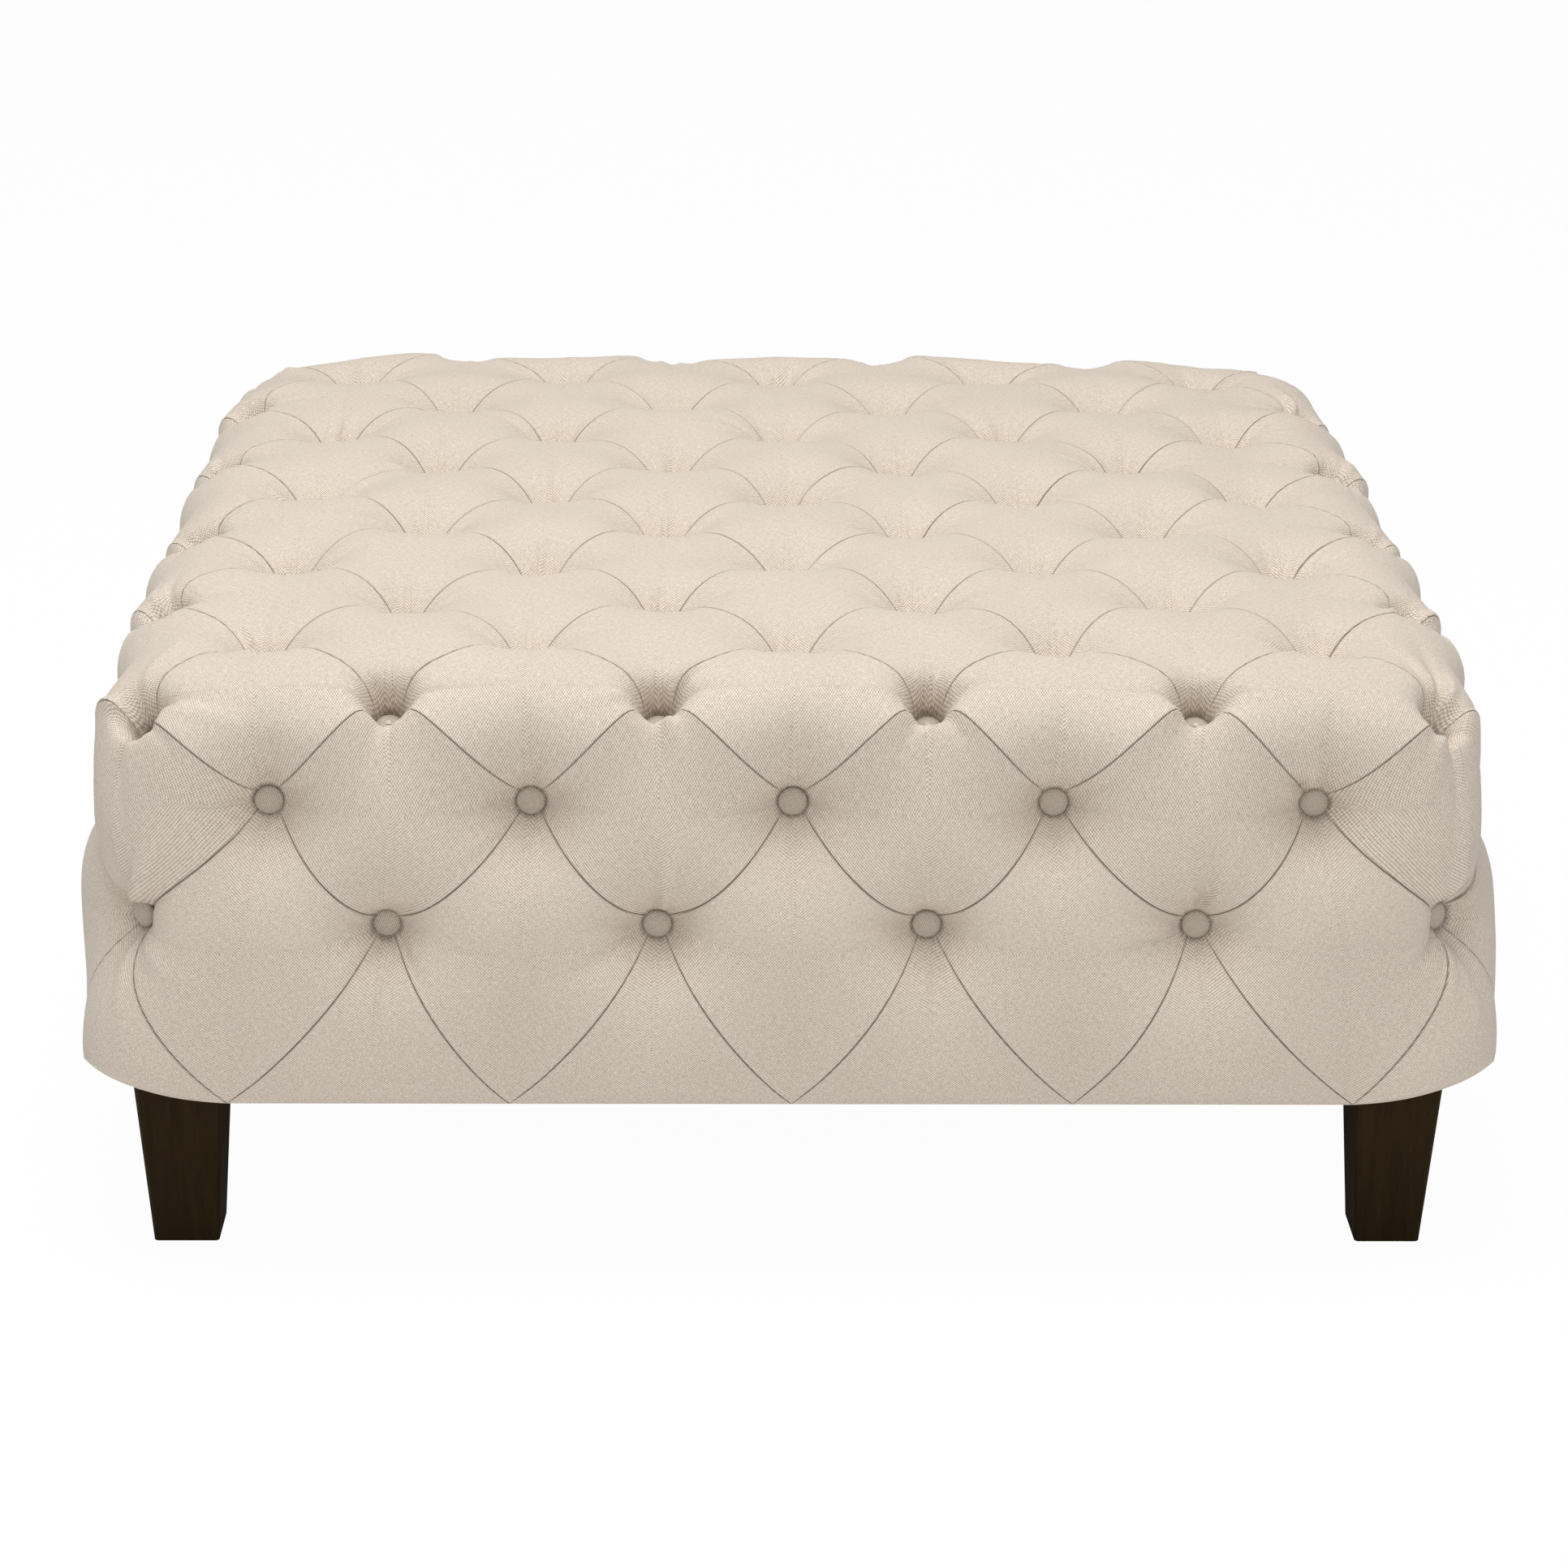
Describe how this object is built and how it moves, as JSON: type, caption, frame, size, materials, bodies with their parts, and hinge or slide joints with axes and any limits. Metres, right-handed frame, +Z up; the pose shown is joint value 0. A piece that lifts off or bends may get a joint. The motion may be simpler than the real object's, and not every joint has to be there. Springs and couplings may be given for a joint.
{
  "type": "tufted ottoman",
  "caption": "Square cocktail ottoman, diamond tufted all over with covered buttons, on tapered square legs.",
  "frame": {"origin": "on the floor, under the middle of the ottoman", "axes": "+Z up; +X to the right and -Y towards the viewer of the picture's front side"},
  "size_m": [0.9898, 0.9898, 0.4317],
  "materials": {
    "linen": "plain woven linen, off white",
    "button_linen": "buttons covered in the same linen",
    "foam": "open-cell upholstery foam",
    "webbing": "woven jute",
    "twine": "waxed tufting twine",
    "toggle": "moulded toggles",
    "plywood": "raw plywood",
    "pine": "raw softwood",
    "leg_wood": "dark stained hardwood, satin lacquer",
    "zinc_steel": "zinc plated",
    "glide": "moulded glide",
    "dust_cloth": "thin non-woven cloth"
  },
  "bodies": {
    "root": {"tufted_cover": "linen", "top_foam": "foam", "webbing_lengthwise": "webbing", "webbing_crosswise": "webbing", "cross_beam": "pine", "foot_glides": "glide", "dust_cover": "dust_cloth", "toggles": "toggle", "top_buttons": "button_linen", "top_twines": "twine", "rim_buttons": "button_linen", "rim_twines": "twine", "upper_side_buttons": "button_linen", "upper_side_twines": "twine", "lower_side_buttons": "button_linen", "lower_side_twines": "twine", "side_foam_front": "foam", "side_panel_front": "plywood", "top_rail_front": "pine", "base_board_front": "plywood", "side_foam_right": "foam", "side_panel_right": "plywood", "top_rail_right": "pine", "base_board_right": "plywood", "side_foam_back": "foam", "side_panel_back": "plywood", "top_rail_back": "pine", "base_board_back": "plywood", "side_foam_left": "foam", "side_panel_left": "plywood", "top_rail_left": "pine", "base_board_left": "plywood", "corner_post_front_right": "pine", "corner_block_front_right": "pine", "leg_front_right": "leg_wood", "leg_plate_front_right": "zinc_steel", "corner_post_back_right": "pine", "corner_block_back_right": "pine", "leg_back_right": "leg_wood", "leg_plate_back_right": "zinc_steel", "corner_post_back_left": "pine", "corner_block_back_left": "pine", "leg_back_left": "leg_wood", "leg_plate_back_left": "zinc_steel", "corner_post_front_left": "pine", "corner_block_front_left": "pine", "leg_front_left": "leg_wood", "leg_plate_front_left": "zinc_steel"}
  },
  "joints": []
}
